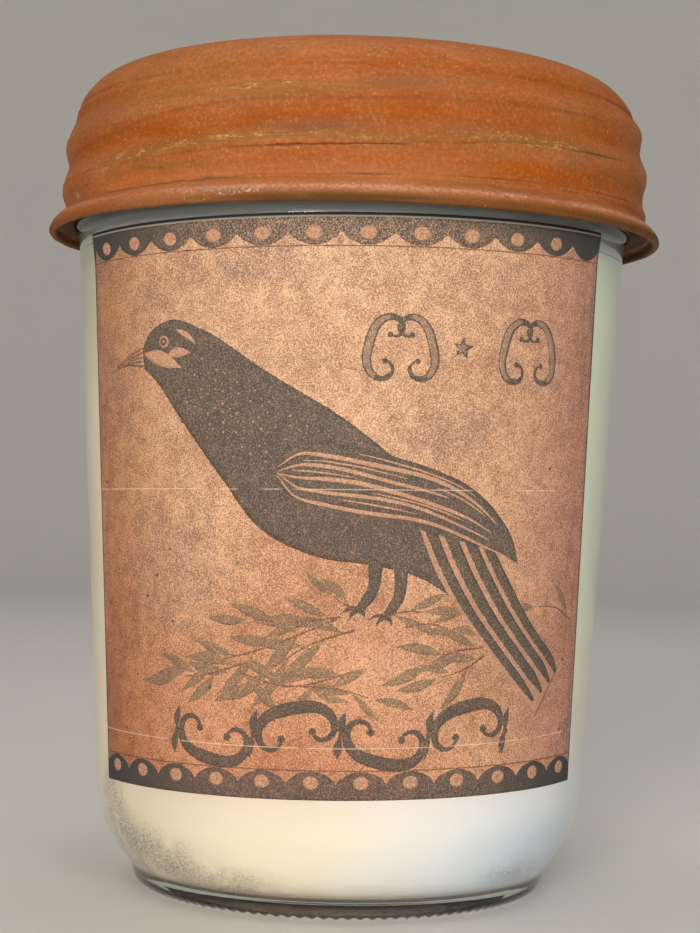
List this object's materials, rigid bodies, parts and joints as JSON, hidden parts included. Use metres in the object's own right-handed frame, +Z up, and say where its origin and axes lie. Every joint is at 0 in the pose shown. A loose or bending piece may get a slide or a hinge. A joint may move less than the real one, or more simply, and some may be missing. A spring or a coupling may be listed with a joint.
{
  "type": "jar candle",
  "caption": "Jar candle: a tapered clear glass jar filled with cream wax, closed by a rust-painted metal screw lid, with an aged paper label round its front.",
  "frame": {"origin": "on the ground under the middle of the cap, which is the bottom centre of the bounding box", "axes": "+Z up along the jar's axis, -Y towards the label, +X to the right of a person facing the label"},
  "size_m": [0.1, 0.1, 0.1302],
  "materials": {
    "clear_glass": "clear, polished, faint green in the thick parts",
    "cream_wax": "poured candle wax, satin, slightly translucent",
    "rust_paint": "brushed rust-coloured paint, thick and streaked, flaking at the rim",
    "aged_paper": "matt, printed to look aged"
  },
  "bodies": {
    "root": {"jar_glass": "clear_glass", "wax": "cream_wax", "lid": "rust_paint", "label": "aged_paper"}
  },
  "joints": []
}
